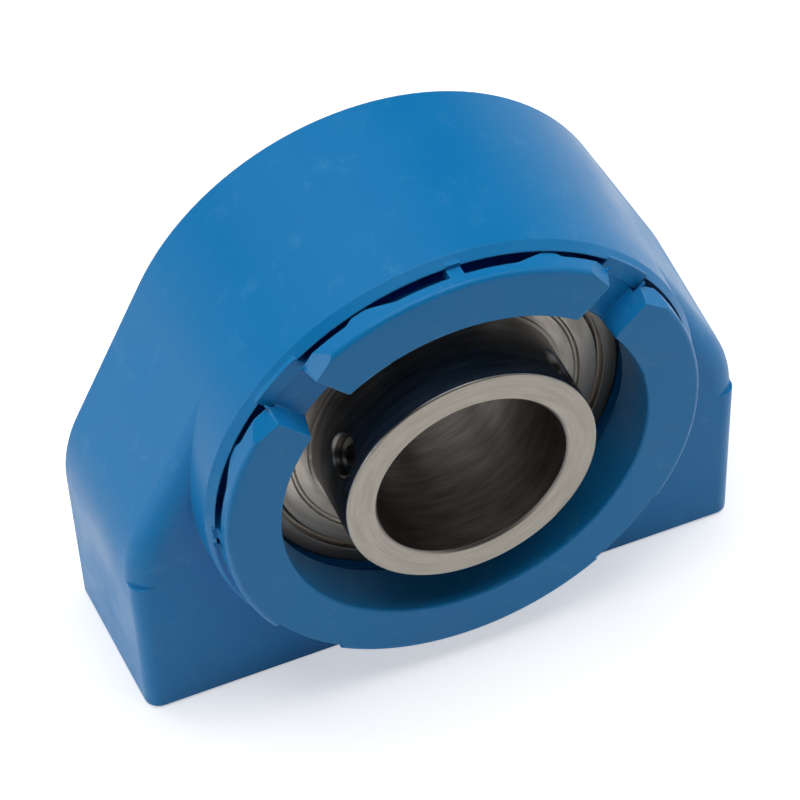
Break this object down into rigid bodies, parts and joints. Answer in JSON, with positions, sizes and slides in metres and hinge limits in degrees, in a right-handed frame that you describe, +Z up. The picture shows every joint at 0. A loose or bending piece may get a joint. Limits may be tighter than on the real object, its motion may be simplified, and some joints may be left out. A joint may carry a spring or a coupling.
{
  "type": "pillow block bearing",
  "caption": "Pillow block bearing: moulded blue housing with a tapped solid base and a stainless set-screw insert ball bearing that aligns itself to the shaft.",
  "frame": {"origin": "on the underside of the base, straight below the centre of the spherical seat", "axes": "+X along the base, +Y along the shaft towards the back of the housing, +Z up from the base; the snap ring and the set screws face -Y"},
  "size_m": [0.1018, 0.0395, 0.0834],
  "materials": {
    "housing_plastic": "moulded blue thermoplastic polyester, fine satin",
    "ring_steel": "ground stainless steel",
    "ball_steel": "polished stainless steel",
    "pressed_steel": "pressed stainless sheet",
    "screw_steel": "stainless steel",
    "insert_steel": "turned stainless steel",
    "cage_plastic": "natural moulded polyamide",
    "seal_rubber": "moulded nitrile rubber"
  },
  "bodies": {
    "housing": {"housing": "housing_plastic", "base_insert_left": "insert_steel", "base_insert_right": "insert_steel", "rear_seal": "seal_rubber"},
    "outer": {"outer_ring": "ring_steel", "shield_front": "pressed_steel", "shield_back": "pressed_steel", "seal_lip_front": "seal_rubber", "seal_lip_back": "seal_rubber"},
    "inner": {"inner_ring": "ring_steel", "flinger_front": "pressed_steel", "flinger_back": "pressed_steel"},
    "cage": {"cage": "cage_plastic"},
    "set_screw_left": {"set_screw_left": "screw_steel"},
    "set_screw_right": {"set_screw_right": "screw_steel"},
    "ball_1": {"ball_1": "ball_steel"},
    "ball_2": {"ball_2": "ball_steel"},
    "ball_3": {"ball_3": "ball_steel"},
    "ball_4": {"ball_4": "ball_steel"},
    "ball_5": {"ball_5": "ball_steel"},
    "ball_6": {"ball_6": "ball_steel"},
    "ball_7": {"ball_7": "ball_steel"},
    "ball_8": {"ball_8": "ball_steel"},
    "ball_9": {"ball_9": "ball_steel"}
  },
  "joints": [
    {"name": "align_tilt", "type": "hinge", "parent": "housing", "child": "outer", "pos_m": [0, 0, 0.0429], "axis": [1, 0, 0], "range_deg": [-2.5, 2.5]},
    {"name": "shaft_spin", "type": "hinge", "parent": "outer", "child": "inner", "pos_m": [0, 0, 0.0429], "axis": [0, 1, 0], "continuous": true},
    {"name": "cage_spin", "type": "hinge", "parent": "outer", "child": "cage", "pos_m": [0, 0, 0.0429], "axis": [0, 1, 0], "continuous": true},
    {"name": "ball_1_spin", "type": "hinge", "parent": "cage", "child": "ball_1", "pos_m": [0, 0, 0.0659], "axis": [0, 1, 0], "continuous": true},
    {"name": "ball_2_spin", "type": "hinge", "parent": "cage", "child": "ball_2", "pos_m": [-0.01478, 0, 0.06052], "axis": [0, 1, 0], "continuous": true},
    {"name": "ball_3_spin", "type": "hinge", "parent": "cage", "child": "ball_3", "pos_m": [-0.02265, 0, 0.04689], "axis": [0, 1, 0], "continuous": true},
    {"name": "ball_4_spin", "type": "hinge", "parent": "cage", "child": "ball_4", "pos_m": [-0.01992, 0, 0.0314], "axis": [0, 1, 0], "continuous": true},
    {"name": "ball_5_spin", "type": "hinge", "parent": "cage", "child": "ball_5", "pos_m": [-0.00787, 0, 0.02129], "axis": [0, 1, 0], "continuous": true},
    {"name": "ball_6_spin", "type": "hinge", "parent": "cage", "child": "ball_6", "pos_m": [0.00787, 0, 0.02129], "axis": [0, 1, 0], "continuous": true},
    {"name": "ball_7_spin", "type": "hinge", "parent": "cage", "child": "ball_7", "pos_m": [0.01992, 0, 0.0314], "axis": [0, 1, 0], "continuous": true},
    {"name": "ball_8_spin", "type": "hinge", "parent": "cage", "child": "ball_8", "pos_m": [0.02265, 0, 0.04689], "axis": [0, 1, 0], "continuous": true},
    {"name": "ball_9_spin", "type": "hinge", "parent": "cage", "child": "ball_9", "pos_m": [0.01478, 0, 0.06052], "axis": [0, 1, 0], "continuous": true},
    {"name": "set_screw_left_travel", "type": "slide", "parent": "inner", "child": "set_screw_left", "axis": [-0.91, 0, 0.4147], "range_m": [0, 0.0015]},
    {"name": "set_screw_right_travel", "type": "slide", "parent": "inner", "child": "set_screw_right", "axis": [0.8141, 0, 0.5807], "range_m": [0, 0.0015]}
  ],
  "couplings": [
    {"joint": "cage_spin", "follows": "shaft_spin", "ratio": 0.39647},
    {"joint": "ball_1_spin", "follows": "shaft_spin", "ratio": -2.3112},
    {"joint": "ball_2_spin", "follows": "shaft_spin", "ratio": -2.3112},
    {"joint": "ball_3_spin", "follows": "shaft_spin", "ratio": -2.3112},
    {"joint": "ball_4_spin", "follows": "shaft_spin", "ratio": -2.3112},
    {"joint": "ball_5_spin", "follows": "shaft_spin", "ratio": -2.3112},
    {"joint": "ball_6_spin", "follows": "shaft_spin", "ratio": -2.3112},
    {"joint": "ball_7_spin", "follows": "shaft_spin", "ratio": -2.3112},
    {"joint": "ball_8_spin", "follows": "shaft_spin", "ratio": -2.3112},
    {"joint": "ball_9_spin", "follows": "shaft_spin", "ratio": -2.3112}
  ]
}
